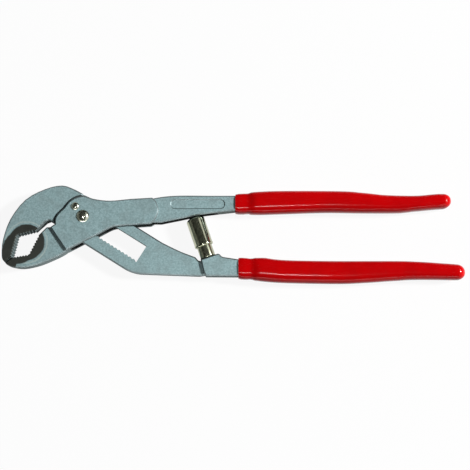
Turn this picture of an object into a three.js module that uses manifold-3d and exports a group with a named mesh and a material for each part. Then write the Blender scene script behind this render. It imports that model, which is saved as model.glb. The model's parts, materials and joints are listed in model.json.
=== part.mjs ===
// Self-adjusting water-pump pliers, 300 mm long, lying on the flat back of their box joint.
// Millimetres. Origin: the pivot axis in the back plane. +X runs to the handles, +Y to the upper handle.
import * as THREE from 'three';
import { mergeVertices } from 'three/addons/utils/BufferGeometryUtils.js';
import Module from 'manifold-3d';

const wasm = await Module();
wasm.setup();

// Thicknesses, all centred on one middle plane.
const BOX_THICK = 14;
const BODY_THICK = 10;
const WEB_THICK = 6;
const MIDDLE = BOX_THICK / 2;

// Clearances: FIT between seated pieces, RUN between pieces that sweep past each other.
const FIT = 0.3;
const RUN = 0.5;
const PLAY = 0.1;
const CHAMFER = 0.8;
const WEB_CHAMFER = 0.8;

// Rack slot, measured along and across its own axis from the pivot.
const SLOT_ANGLE = THREE.MathUtils.degToRad(32);
const SLOT_HIGH = 5.6;
const RACK_TIP = 5.7;
const RACK_DEPTH = 1;
const RACK_PITCH = 2.75;
const RACK_STEPS = 12;
const RACK_START = -3;
const SLOT_SPARE = 1.8;
const BAND_HIGH = 12.8;
const BAND_LOW = 14.4;
const SWING_ROOM = THREE.MathUtils.degToRad(38);

// Box joint: round front, nose towards the jaws and the rivets.
const BOX_FRONT = 13.1;
const BOX_NOSE = 18.6;
const NOSE_FROM = 150;
const NOSE_TO = 196;
const PIVOT_SHANK = 6;
const PIVOT_HEAD = 8;
const PIVOT_DOME = 1.7;
const GUIDE_BACK = 7.6;
const GUIDE_SHANK = 3.2;
const GUIDE_HEAD = 5;
const GUIDE_DOME = 1.2;
const ROLLER = 5;
const BLOCK_REAR = 10;

// Jaws.
const JAW_GAP = 0.4;
const TOOTH_PITCH = 1.9;
const TOOTH_DEPTH = 0.9;

// Spring strut on the lower handle.
const STRUT_BASE = new THREE.Vector2(80.6, -26.2);
const STRUT_TILT = THREE.MathUtils.degToRad(19);
const STRUT_HEIGHT = 28.1;
const STROKE_SHOWN = 7.9;
const SPIGOT = 5;
const SPIGOT_LENGTH = 7;
const GUIDE_TUBE = 9.8;
const GUIDE_WALL = 1.2;
const GUIDE_HEIGHT = 16.8;
const GUIDE_FLOOR = 1.4;
const FACET_LEFT = 5.1;
const FACET_RIGHT = 4.6;
const CAP_WALL = 0.8;
const CAP_ROOF = 2.8;
const CAP_DOME = 2.6;
const WIRE = 0.9;
const COILS = 9;

// Handles and dipped sleeves.
const UPPER_GRIP = 140.5;
const LOWER_GRIP = 146;
const UPPER_MOUTH = 98;
const LOWER_MOUTH = 100;
const SLEEVE_WALL = 1.6;
const SLEEVE_SIDE = 2;
const TANG_SHORT = 9;
const COLLAR = 8;
const GROOVE_DEPTH = 0.45;
const GROOVE_WIDTH = 1.6;
const RECESS_START = 56;
const RECESS_END = 91.5;
const RECESS_RISE = 8.1;
const RECESS_HEIGHT = 6.4;
const RECESS_DEPTH = 0.5;
const RECESS_SLOPE = 0.5;

const ROUND_SIDES = 28;

const STEEL = { color: 0x869c9f, roughness: 0.45, metalness: 0.9 };
const BRIGHT = { color: 0xc3c0a4, roughness: 0.12, metalness: 1 };
const RED_VINYL = { color: 0xc30a14, roughness: 0.3, metalness: 0 };

// Values worked out from the sizes above.
const ROLLER_LIFT = SLOT_HIGH - FIT - ROLLER / 2;
const GUIDE_ORBIT = Math.hypot(GUIDE_BACK, ROLLER_LIFT);
const BLOCK_NOSE = GUIDE_ORBIT - ROLLER / 2 - FIT - PLAY;
const SLOT_FRONT = -(GUIDE_ORBIT + ROLLER / 2 + RUN);
const SLOT_REAR = BLOCK_REAR + RACK_STEPS * RACK_PITCH + SLOT_SPARE;
const POCKET_THICK = WEB_THICK + 2 * FIT;

const point = (x, y) => new THREE.Vector2(x, y);

const polar = (radius, angle) => point(radius * Math.cos(angle), radius * Math.sin(angle));

/** A point given along and across the slot, in plan. */
function slotPoint(along, across) {
  return point(along, across).rotateAround(point(0, 0), -SLOT_ANGLE);
}

/** A smooth run through a few points. */
function smooth(points, steps = 4) {
  return new THREE.SplineCurve(points).getPoints((points.length - 1) * steps);
}

/** A closed geometry as a solid that can be joined and cut. */
function solid(geometry) {
  const bare = geometry.index ? geometry.toNonIndexed() : geometry.clone();
  bare.deleteAttribute('normal');
  bare.deleteAttribute('uv');
  const merged = mergeVertices(bare, 1e-4);
  const vertProperties = new Float32Array(merged.attributes.position.array);
  const corners = merged.index.array;
  const kept = [];
  for (let i = 0; i < corners.length; i += 3) {
    const [a, b, c] = corners.slice(i, i + 3);
    if (a !== b && b !== c && c !== a) kept.push(a, b, c);
  }
  return new wasm.Manifold(new wasm.Mesh({ numProp: 3, vertProperties, triVerts: new Uint32Array(kept) }));
}

/** A solid as a named mesh. */
function part(name, body, look) {
  const { vertProperties, triVerts } = body.getMesh();
  const geometry = new THREE.BufferGeometry();
  geometry.setAttribute('position', new THREE.BufferAttribute(new Float32Array(vertProperties), 3));
  geometry.setIndex(new THREE.BufferAttribute(new Uint32Array(triVerts), 1));
  geometry.computeVertexNormals();
  const mesh = new THREE.Mesh(geometry, new THREE.MeshStandardMaterial(look));
  mesh.name = name;
  return mesh;
}

/** An outline raised to a plate about the middle plane, its edges chamfered inside the outline. */
function plate(outline, thick, chamfer = 0) {
  const geometry = new THREE.ExtrudeGeometry(new THREE.Shape(outline), {
    depth: thick - 2 * chamfer,
    bevelEnabled: chamfer > 0,
    bevelThickness: chamfer,
    bevelSize: chamfer,
    bevelOffset: -chamfer,
    bevelSegments: 1,
  });
  geometry.translate(0, 0, MIDDLE - thick / 2 + chamfer);
  return solid(geometry);
}

/** A body turned about an axis that runs up the page, from [radius, height] pairs. */
function turned(profile, sides = ROUND_SIDES) {
  return new THREE.LatheGeometry(profile.map(([radius, height]) => point(radius, height)), sides);
}

/** A turned body standing on the back plane at a place in plan. */
function upright(profile, place = point(0, 0)) {
  return solid(turned(profile).rotateX(Math.PI / 2).translate(place.x, place.y, 0));
}

/** A quarter ellipse from the rim up to the axis, for domed ends. */
function dome(radius, base, height, steps = 6) {
  return Array.from({ length: steps }, (_, i) => {
    const turn = (Math.PI / 2) * ((i + 1) / steps);
    return [i + 1 === steps ? 0 : radius * Math.cos(turn), base + height * Math.sin(turn)];
  });
}

/** Zigzag of equal teeth from one point to another; rise is measured to the left of the run. */
function zigzag(from, to, pitch, rise) {
  const run = to.clone().sub(from);
  const count = Math.max(1, Math.round(run.length() / pitch));
  const side = point(-run.y, run.x).setLength(rise);
  const row = [];
  for (let i = 0; i < count; i += 1) {
    row.push(from.clone().addScaledVector(run, i / count));
    row.push(from.clone().addScaledVector(run, (i + 0.5) / count).add(side));
  }
  row.push(to.clone());
  return row;
}

/** Cutter for a toothed flank: bites to the left of the run, open space lies to its right. */
function toothCutter(from, to) {
  const away = point(to.y - from.y, from.x - to.x).setLength(TOOTH_DEPTH);
  const outline = zigzag(from, to, TOOTH_PITCH, TOOTH_DEPTH);
  outline.push(to.clone().add(away), from.clone().add(away));
  return plate(outline, 2 * BOX_THICK);
}

/** Radius of the box joint's front about the pivot: round at the top, swelling to the nose below. */
function boxFront(angle) {
  const rise = THREE.MathUtils.smoothstep(THREE.MathUtils.radToDeg(angle), NOSE_FROM, NOSE_TO);
  return BOX_FRONT + (BOX_NOSE - BOX_FRONT) * rise;
}

/** Run along the box front between two angles in degrees, kept clear of it by a gap. */
function frontRun(fromDegrees, toDegrees, gap) {
  const steps = 18;
  return Array.from({ length: steps + 1 }, (_, i) => {
    const angle = THREE.MathUtils.degToRad(THREE.MathUtils.lerp(fromDegrees, toDegrees, i / steps));
    return polar(boxFront(angle) + gap, angle);
  });
}

// Handle sleeves: top and bottom edges at stations along their length, 0 at the mouth and 1 at the end.
const upperSleeve = {
  mouth: UPPER_MOUTH,
  length: UPPER_GRIP,
  stations: [0, 0.055, 0.1, 0.24, 0.44, 0.6, 0.71, 0.82, 0.94, 1],
  top: [15.3, 15.9, 16.9, 17.5, 17.4, 16.1, 14.6, 14.2, 15.4, 15.6],
  bottom: [2.4, 2.2, 1.9, 2.5, 3.3, 3.0, 3.0, 4.1, 5.6, 6.0],
};
const lowerSleeve = {
  mouth: LOWER_MOUTH,
  length: LOWER_GRIP,
  stations: [0, 0.055, 0.1, 0.23, 0.44, 0.56, 0.69, 0.8, 0.91, 1],
  top: [-26.2, -26.6, -26.2, -28, -28.5, -28.5, -28.5, -29, -30.1, -31],
  bottom: [-40.2, -40.7, -41.6, -42.8, -43.3, -42.6, -41.3, -40.6, -40.7, -41],
};

/** Curve along one edge of a sleeve, as a function of the share of its length. */
function sleeveEdge(sleeve, edge) {
  const run = sleeve.stations.map((share, i) => new THREE.Vector3(share, sleeve[edge][i], 0));
  const curve = new THREE.CatmullRomCurve3(run, false, 'centripetal');
  const samples = curve.getPoints(200);
  return (share) => {
    const next = Math.max(1, samples.findIndex((sample) => sample.x >= share));
    const [a, b] = [samples[next - 1], samples[next]];
    return THREE.MathUtils.mapLinear(share, a.x, b.x, a.y, b.y);
  };
}

/** Edge of the bare handle inside a sleeve, from the mouth to the handle's end. */
function tangEdge(sleeve, edge, inset) {
  const height = sleeveEdge(sleeve, edge);
  const sign = edge === 'top' ? -1 : 1;
  const share = 1 - TANG_SHORT / sleeve.length;
  return Array.from({ length: 15 }, (_, i) => {
    const along = (share * i) / 14;
    return point(sleeve.mouth + along * sleeve.length, height(along) + sign * inset);
  });
}

/** Space for the bare handle inside a sleeve, open at the mouth. */
function tangSpace(sleeve) {
  const inset = SLEEVE_WALL - FIT;
  const top = tangEdge(sleeve, 'top', inset);
  const bottom = tangEdge(sleeve, 'bottom', inset).reverse();
  const ahead = point(-2, 0);
  const rear = point(FIT, 0);
  const outline = [
    top[0].clone().add(ahead),
    ...top,
    top.at(-1).clone().add(rear),
    bottom[0].clone().add(rear),
    ...bottom,
    bottom.at(-1).clone().add(ahead),
  ];
  return plate(outline, BODY_THICK + 2 * FIT);
}

/** Dipped sleeve: rounded sections along the handle, a collar at the mouth and a round closed end. */
function grip(sleeve) {
  const sides = 24;
  const rings = 32;
  const endLength = 5.6;
  const squareness = 3;
  const top = sleeveEdge(sleeve, 'top');
  const bottom = sleeveEdge(sleeve, 'bottom');
  const halfDepth = BODY_THICK / 2 + SLEEVE_SIDE;
  const shape = (value) => Math.sign(value) * Math.abs(value) ** (2 / squareness);
  const vertices = [];
  for (let ring = 0; ring <= rings; ring += 1) {
    const share = Math.min(0.9995, 1 - (1 - ring / rings) ** 1.25);
    const along = share * sleeve.length;
    const left = Math.max(0, endLength - (sleeve.length - along)) / endLength;
    const round = Math.sqrt(Math.max(0.002, 1 - left * left));
    const groove = GROOVE_DEPTH * Math.exp(-(((along - COLLAR) / GROOVE_WIDTH) ** 2));
    const middle = (top(share) + bottom(share)) / 2;
    const halfHeight = ((top(share) - bottom(share)) / 2 - groove) * round;
    for (let i = 0; i < sides; i += 1) {
      const turn = (2 * Math.PI * (i + 0.5)) / sides;
      const height = middle + halfHeight * shape(Math.cos(turn));
      const depth = MIDDLE + (halfDepth * round - groove) * shape(Math.sin(turn));
      vertices.push(sleeve.mouth + along, height, depth);
    }
  }
  return solid(tubeSkin(vertices, sides, rings)).subtract(tangSpace(sleeve));
}

/** Closed skin over rings of equal point counts, with flat ends. */
function tubeSkin(vertices, sides, rings) {
  const faces = [];
  for (let ring = 0; ring < rings; ring += 1) {
    for (let i = 0; i < sides; i += 1) {
      const next = (i + 1) % sides;
      const [a, b] = [ring * sides + i, ring * sides + next];
      faces.push(a, b, a + sides, b, b + sides, a + sides);
    }
  }
  const last = rings * sides;
  for (let i = 1; i < sides - 1; i += 1) {
    faces.push(0, i + 1, i, last, last + i, last + i + 1);
  }
  const geometry = new THREE.BufferGeometry();
  geometry.setAttribute('position', new THREE.BufferAttribute(new Float32Array(vertices), 3));
  geometry.setIndex(faces);
  return geometry;
}

// Tips of the closed jaws: the lower tip lies along the upper one, a small gap away.
const upperTip = [point(-49.8, -29.6), point(-45.4, -26.1)];
const tipNormal = point(0.62, -0.785);
const lowerTip = upperTip.map((end) => end.clone().addScaledVector(tipNormal, JAW_GAP));
const upperThroat = point(-31, -9.3);
const upperApex = point(-42.2, -12.2);
const lowerThroat = point(-28.6, -12.2);
const lowerApex = point(-34.6, -24.6);

/** Upper lever at body thickness: handle, joint core and lower jaw. */
function upperBodyOutline() {
  return [
    ...tangEdge(upperSleeve, 'top', SLEEVE_WALL).reverse(),
    ...smooth([point(80, 13.7), point(62, 13.8), point(50, 12.9), point(40, 10.8)]),
    point(14, 8),
    point(0, 9),
    point(-12, 0),
    point(-16, -6.6),
    point(-23.6, -7),
    lowerThroat,
    lowerApex,
    lowerTip[1],
    lowerTip[0],
    ...smooth([point(-48.7, -30.9), point(-46.8, -32), point(-41.6, -33), point(-36, -32.9),
      point(-27, -30.7), point(-16, -25.9), point(-11.4, -23.3)], 3),
    point(-4, -16),
    point(16, -6),
    point(44, -3.8),
    ...smooth([point(50, -3.9), point(62.4, -1.4), point(75.3, 1.2), point(88, 2.9)]),
    ...tangEdge(upperSleeve, 'bottom', SLEEVE_WALL),
  ];
}

/** Flat cheeks of the box joint. */
function boxOutline() {
  return [
    ...smooth([point(44.4, 12.1), point(31, 11.3), point(17.5, 10.1), point(7.6, 11.1), point(1.4, 13)]),
    ...frontRun(86, NOSE_TO, 0),
    point(-20.9, -7.2),
    point(-10.5, -22.2),
    ...smooth([point(-1.4, -17.4), point(9, -12.2), point(17.7, -7.5), point(24, -6.3), point(43.3, -4.9)]),
    ...smooth([point(46.2, -2.9), point(48.7, 3.6), point(46.9, 9.8)]),
  ];
}

/** Space between the cheeks for the web as it slides and turns, with its run-out under the handle. */
function pocketOutline() {
  const quarter = Math.PI / 2;
  const half = SWING_ROOM / 2;
  const highSide = quarter - SLOT_ANGLE;
  const lowSide = -quarter - SLOT_ANGLE;
  const highCorner = polar((BAND_HIGH + FIT) / Math.cos(half), highSide - half);
  const lowCorner = polar((BAND_LOW + FIT) / Math.cos(half), lowSide - half);
  const reach = 60;
  const runOut = point(87, 2.7);
  const turnedAway = polar(1, highSide - SWING_ROOM + quarter);
  const turnedDown = polar(1, lowSide - SWING_ROOM + quarter);
  return [
    highCorner,
    runOut,
    point(runOut.x, -reach / 3),
    lowCorner.clone().addScaledVector(turnedDown, reach),
    lowCorner,
    lowCorner.clone().add(slotPoint(-reach / 2, 0)),
    point(-reach / 2, reach),
    highCorner.clone().addScaledVector(turnedAway, reach),
  ];
}

/** Hole for a rivet through both cheeks, countersunk in the back. */
function rivetHole(shank, head, place) {
  const radius = shank / 2 + FIT;
  const sink = head / 2 + FIT;
  const flare = sink - radius;
  return upright([[0, -1], [sink, -1], [sink, FIT], [radius, FIT + flare], [radius, BOX_THICK + 1],
    [0, BOX_THICK + 1]], place);
}

const guidePlace = slotPoint(-GUIDE_BACK, ROLLER_LIFT);

/** Cutter for the shallow round-ended recess in the front of the upper handle, its walls sloping in. */
function recessCutter() {
  const quarter = Math.PI / 2;
  const radius = RECESS_HEIGHT / 2;
  const outline = new THREE.Shape();
  outline.absarc(RECESS_END - radius, RECESS_RISE, radius, -quarter, quarter);
  outline.absarc(RECESS_START + radius, RECESS_RISE, radius, quarter, 3 * quarter);
  const cutter = new THREE.ExtrudeGeometry(outline, {
    depth: BODY_THICK,
    bevelThickness: RECESS_DEPTH,
    bevelSize: RECESS_SLOPE,
    bevelOffset: -RECESS_SLOPE,
    bevelSegments: 1,
    curveSegments: 10,
  });
  return solid(cutter.translate(0, 0, MIDDLE + BODY_THICK / 2));
}

function upperLever() {
  const lever = plate(upperBodyOutline(), BODY_THICK, CHAMFER)
    .add(plate(boxOutline(), BOX_THICK, CHAMFER))
    .subtract(plate(pocketOutline(), POCKET_THICK))
    .subtract(rivetHole(PIVOT_SHANK, PIVOT_HEAD, point(0, 0)))
    .subtract(rivetHole(GUIDE_SHANK, GUIDE_HEAD, guidePlace))
    .subtract(toothCutter(lowerThroat, lowerApex))
    .subtract(toothCutter(lowerApex, lowerTip[1]))
    .subtract(recessCutter());
  return part('upper_lever', lever, STEEL);
}

/** Upper jaw at body thickness, its shoulder running round the front of the box joint. */
function upperJawOutline() {
  return [
    ...smooth([point(-0.8, 15), point(-6, 17.8), point(-14.2, 20.5), point(-25.2, 18.1), point(-37.9, 11),
      point(-47.2, -1.8), point(-51.4, -15), point(-51.9, -24.5), point(-51.2, -28)], 3),
    upperTip[0],
    upperTip[1],
    upperApex,
    upperThroat,
    point(-24.4, -3.2),
    point(-22, -2.3),
    ...frontRun(193, 93, RUN),
  ];
}

/** Thin web between the jaw and the handle. */
function webOutline() {
  const bottom = -36.9;
  const bendReach = 7;
  const cornerAlong = (-bottom - BAND_LOW * Math.cos(SLOT_ANGLE)) / Math.sin(SLOT_ANGLE);
  const corner = slotPoint(cornerAlong, -BAND_LOW);
  const bend = new THREE.QuadraticBezierCurve(slotPoint(cornerAlong - bendReach, -BAND_LOW), corner,
    corner.clone().add(point(bendReach, -0.2)));
  return [
    slotPoint(-14, 9),
    slotPoint(-7.4, 12.4),
    slotPoint(-4, BAND_HIGH),
    ...smooth([slotPoint(52, BAND_HIGH), point(59.3, -20.9), point(65.7, -23.7), point(72.4, -26.2)], 3),
    point(74.1, -28.2),
    point(84, -31),
    point(84, -37),
    point(75, -38.4),
    ...bend.getPoints(6).reverse(),
    slotPoint(-11, -BAND_LOW),
    point(-19, -4),
    point(-21, 0),
    point(-14, 14),
  ];
}

const strutAxis = polar(1, Math.PI / 2 + STRUT_TILT);

/** Lower handle at body thickness, with the facet that carries the strut. */
function lowerHandleOutline() {
  const across = point(strutAxis.y, -strutAxis.x);
  const facet = [-FACET_LEFT, FACET_RIGHT].map((reach) => STRUT_BASE.clone().addScaledVector(across, reach));
  return [
    ...tangEdge(lowerSleeve, 'top', SLEEVE_WALL).reverse(),
    ...smooth([point(91, -26.4), point(89.3, -25.9), point(88.1, -24.6), point(86.9, -24.1)], 2),
    facet[1],
    facet[0],
    ...smooth([point(77.1, -33.5), point(77.9, -36.3), point(79.2, -38.5)], 2),
    ...tangEdge(lowerSleeve, 'bottom', SLEEVE_WALL),
  ];
}

/** Slot with a smooth upper edge, a square end and a toothed rack below. */
function slotOutline() {
  const root = -(RACK_TIP + RACK_DEPTH);
  const teeth = Math.floor((SLOT_REAR - RACK_START) / RACK_PITCH);
  const rackEnd = RACK_START + teeth * RACK_PITCH;
  return [
    slotPoint(SLOT_FRONT, SLOT_HIGH),
    slotPoint(SLOT_FRONT, root),
    ...zigzag(slotPoint(RACK_START, root), slotPoint(rackEnd, root), RACK_PITCH, RACK_DEPTH),
    slotPoint(SLOT_REAR, root),
    slotPoint(SLOT_REAR, SLOT_HIGH),
  ];
}

function lowerLever() {
  const bore = SPIGOT / 2 + FIT;
  const depth = SPIGOT_LENGTH + FIT;
  const socket = turned([[0, -depth], [bore, -depth], [bore, 2], [0, 2]])
    .rotateZ(STRUT_TILT).translate(STRUT_BASE.x, STRUT_BASE.y, MIDDLE);
  const lever = plate(webOutline(), WEB_THICK, WEB_CHAMFER)
    .add(plate(upperJawOutline(), BODY_THICK, CHAMFER))
    .add(plate(lowerHandleOutline(), BODY_THICK, CHAMFER))
    .subtract(plate(slotOutline(), 2 * BOX_THICK))
    .subtract(toothCutter(upperTip[1], upperApex))
    .subtract(toothCutter(upperApex, upperThroat))
    .subtract(solid(socket));
  return part('lower_lever', lever, STEEL);
}

/** Toothed block on the pivot: round nose inside the guide's path, teeth held just off the rack. */
function ratchetBlock() {
  const top = SLOT_HIGH - FIT;
  const tip = -(RACK_TIP - FIT);
  const root = tip + RACK_DEPTH;
  const start = RACK_START + RACK_PITCH * 1.5;
  const end = start + RACK_PITCH * Math.floor((BLOCK_REAR - start) / RACK_PITCH);
  const nose = Array.from({ length: 13 }, (_, i) => {
    const angle = Math.PI / 2 + (Math.PI * i) / 12;
    return slotPoint(BLOCK_NOSE * Math.cos(angle), BLOCK_NOSE * Math.sin(angle));
  });
  const outline = [
    slotPoint(BLOCK_REAR, top),
    slotPoint(1, top),
    ...nose,
    ...zigzag(slotPoint(start, root), slotPoint(end, root), RACK_PITCH, -RACK_DEPTH),
    slotPoint(BLOCK_REAR, root),
  ];
  const hole = PIVOT_SHANK / 2 + FIT;
  const bore = upright([[0, 0], [hole, 0], [hole, BOX_THICK], [0, BOX_THICK]]);
  const block = plate(outline, WEB_THICK).subtract(bore);
  return part('ratchet_block', block, STEEL);
}

/** Rivet with a domed front head and a flush countersunk tail. */
function rivet(name, shank, head, height, place) {
  const flare = (head - shank) / 2;
  const seat = BOX_THICK + FIT;
  const body = upright([[0, 0], [head / 2, 0], [shank / 2, flare], [shank / 2, seat],
    [head / 2, seat], ...dome(head / 2, seat, height)], place);
  return part(name, body, BRIGHT);
}

function guideRoller() {
  const bore = GUIDE_SHANK / 2 + FIT;
  const low = MIDDLE - WEB_THICK / 2;
  const high = MIDDLE + WEB_THICK / 2;
  const profile = [[bore, low], [ROLLER / 2, low], [ROLLER / 2, high], [bore, high], [bore, low]];
  return part('guide_roller', upright(profile, guidePlace), STEEL);
}

const tubeBore = GUIDE_TUBE / 2 - GUIDE_WALL;
const capInside = GUIDE_TUBE / 2 + FIT;
const capRadius = capInside + CAP_WALL;
const capCeiling = STRUT_HEIGHT - CAP_ROOF;

function springGuide() {
  const tube = turned([[0, -SPIGOT_LENGTH], [SPIGOT / 2, -SPIGOT_LENGTH], [SPIGOT / 2, FIT],
    [GUIDE_TUBE / 2, FIT], [GUIDE_TUBE / 2, GUIDE_HEIGHT], [tubeBore, GUIDE_HEIGHT],
    [tubeBore, GUIDE_FLOOR], [0, GUIDE_FLOOR]]);
  return part('spring_guide', solid(tube), BRIGHT);
}

function springCap() {
  const shoulder = STRUT_HEIGHT - CAP_DOME;
  const cap = turned([[0, capCeiling], [capInside, capCeiling], [capInside, STROKE_SHOWN],
    [capRadius, STROKE_SHOWN], [capRadius, shoulder], ...dome(capRadius, shoulder, CAP_DOME)]);
  return part('spring_cap', solid(cap), BRIGHT);
}

/** Helix of the return spring about the strut's axis. */
class Helix extends THREE.Curve {
  constructor(radius, low, high, turns) {
    super();
    Object.assign(this, { radius, low, high, turns });
  }

  getPoint(share, target = new THREE.Vector3()) {
    const angle = 2 * Math.PI * this.turns * share;
    const height = THREE.MathUtils.lerp(this.low, this.high, share);
    return target.set(this.radius * Math.cos(angle), height, this.radius * Math.sin(angle));
  }
}

/** Least gap between wire surfaces more than half a turn apart along the helix. */
function leastGap(points, stepsPerTurn, wire) {
  let least = Infinity;
  points.forEach((a, i) => points.slice(i + stepsPerTurn / 2 + 1).forEach((b) => {
    least = Math.min(least, a.distanceTo(b) - wire);
  }));
  return least;
}

function returnSpring() {
  const stepsPerTurn = 8;
  const wireRadius = WIRE / 2;
  const helix = new Helix(tubeBore - FIT - wireRadius, GUIDE_FLOOR + FIT + wireRadius,
    capCeiling - FIT - wireRadius, COILS);
  const section = Array.from({ length: 5 }, (_, i) => polar(wireRadius, (2 * Math.PI * i) / 5));
  const coil = new THREE.ExtrudeGeometry(new THREE.Shape(section), {
    steps: COILS * stepsPerTurn,
    extrudePath: helix,
    bevelEnabled: false,
  });
  const gap = leastGap(helix.getPoints(COILS * stepsPerTurn), stepsPerTurn, WIRE);
  console.log(`return_spring: least gap between coils ${gap.toFixed(2)} mm`);
  return part('return_spring', solid(coil), BRIGHT);
}

const strut = new THREE.Group();
strut.position.set(STRUT_BASE.x, STRUT_BASE.y, MIDDLE);
strut.rotation.z = STRUT_TILT;
strut.add(springGuide(), springCap(), returnSpring());

const pliers = new THREE.Group();
pliers.add(
  upperLever(),
  lowerLever(),
  ratchetBlock(),
  rivet('pivot_rivet', PIVOT_SHANK, PIVOT_HEAD, PIVOT_DOME, point(0, 0)),
  rivet('guide_rivet', GUIDE_SHANK, GUIDE_HEAD, GUIDE_DOME, guidePlace),
  guideRoller(),
  strut,
  part('upper_grip', grip(upperSleeve), RED_VINYL),
  part('lower_grip', grip(lowerSleeve), RED_VINYL),
);

export default pliers;
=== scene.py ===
"""Self-adjusting pliers on a pale floor: refined pieces, finishes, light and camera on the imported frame."""
from __future__ import annotations

import json
import logging
import math
from dataclasses import dataclass
from enum import Enum
from typing import Callable

import bmesh
import bpy
from mathutils import Euler, Matrix, Vector

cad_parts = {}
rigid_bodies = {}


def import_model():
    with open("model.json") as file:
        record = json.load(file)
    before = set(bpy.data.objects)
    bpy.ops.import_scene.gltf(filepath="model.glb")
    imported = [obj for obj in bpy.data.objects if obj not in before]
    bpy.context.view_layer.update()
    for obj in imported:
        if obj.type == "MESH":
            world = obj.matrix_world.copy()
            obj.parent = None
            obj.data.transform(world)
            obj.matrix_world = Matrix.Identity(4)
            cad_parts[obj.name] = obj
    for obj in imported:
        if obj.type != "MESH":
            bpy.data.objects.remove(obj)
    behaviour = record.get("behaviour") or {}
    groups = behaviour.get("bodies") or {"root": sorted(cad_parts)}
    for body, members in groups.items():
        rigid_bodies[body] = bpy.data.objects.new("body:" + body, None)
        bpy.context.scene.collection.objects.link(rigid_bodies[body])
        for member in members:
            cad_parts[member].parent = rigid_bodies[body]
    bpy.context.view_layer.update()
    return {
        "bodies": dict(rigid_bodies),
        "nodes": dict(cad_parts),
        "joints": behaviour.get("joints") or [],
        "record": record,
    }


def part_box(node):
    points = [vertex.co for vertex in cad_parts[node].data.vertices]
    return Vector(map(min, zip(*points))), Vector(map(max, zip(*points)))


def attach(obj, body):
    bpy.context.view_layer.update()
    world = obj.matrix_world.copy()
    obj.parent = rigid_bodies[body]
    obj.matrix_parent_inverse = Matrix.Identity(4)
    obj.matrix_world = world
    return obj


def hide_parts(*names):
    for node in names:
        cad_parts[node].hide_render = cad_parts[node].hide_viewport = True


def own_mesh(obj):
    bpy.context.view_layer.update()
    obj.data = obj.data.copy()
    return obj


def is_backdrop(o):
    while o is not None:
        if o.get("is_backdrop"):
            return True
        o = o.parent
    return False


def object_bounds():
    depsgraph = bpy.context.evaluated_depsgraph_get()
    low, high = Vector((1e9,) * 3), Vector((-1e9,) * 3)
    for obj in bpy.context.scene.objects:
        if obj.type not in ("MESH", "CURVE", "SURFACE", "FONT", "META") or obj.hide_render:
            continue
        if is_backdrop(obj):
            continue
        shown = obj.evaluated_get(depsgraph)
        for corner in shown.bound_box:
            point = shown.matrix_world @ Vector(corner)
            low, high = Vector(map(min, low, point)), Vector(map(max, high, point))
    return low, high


logging.basicConfig(level=logging.INFO, format="%(message)s")
LOG = logging.getLogger("pliers")

MM = 0.001
MERGE = 0.001 * MM
NOISE_SPAN = (0.3, 0.7)
WALL = "shaded_rough_wall"
EDGE = "ground_edge"
POCKET = "pocket_shade"

Pair = tuple[float, float]
Triple = tuple[float, float, float]
Colour = tuple[float, float, float, float]
Section = tuple[float, float, float, float, float]
Profile = list[Pair]


class Slot(Enum):
    """Material slots of the record."""

    FORGED = "forged_steel"
    HARDENED = "hardened_steel"
    RIVET = "rivet_steel"
    TUBE = "bright_tube"
    WIRE = "spring_wire"
    VINYL = "red_vinyl"


class Body(Enum):
    """Moving bodies of the frame."""

    PIVOT = "pivot"
    UPPER = "upper_half"
    RATCHET = "ratchet"
    LOWER = "lower_half"
    CAP = "cap"


class Side(Enum):
    """The two handles, with the frame node of each grip and the body it rides on."""

    UPPER = ("upper_grip", Body.UPPER)
    LOWER = ("lower_grip", Body.LOWER)


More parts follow.
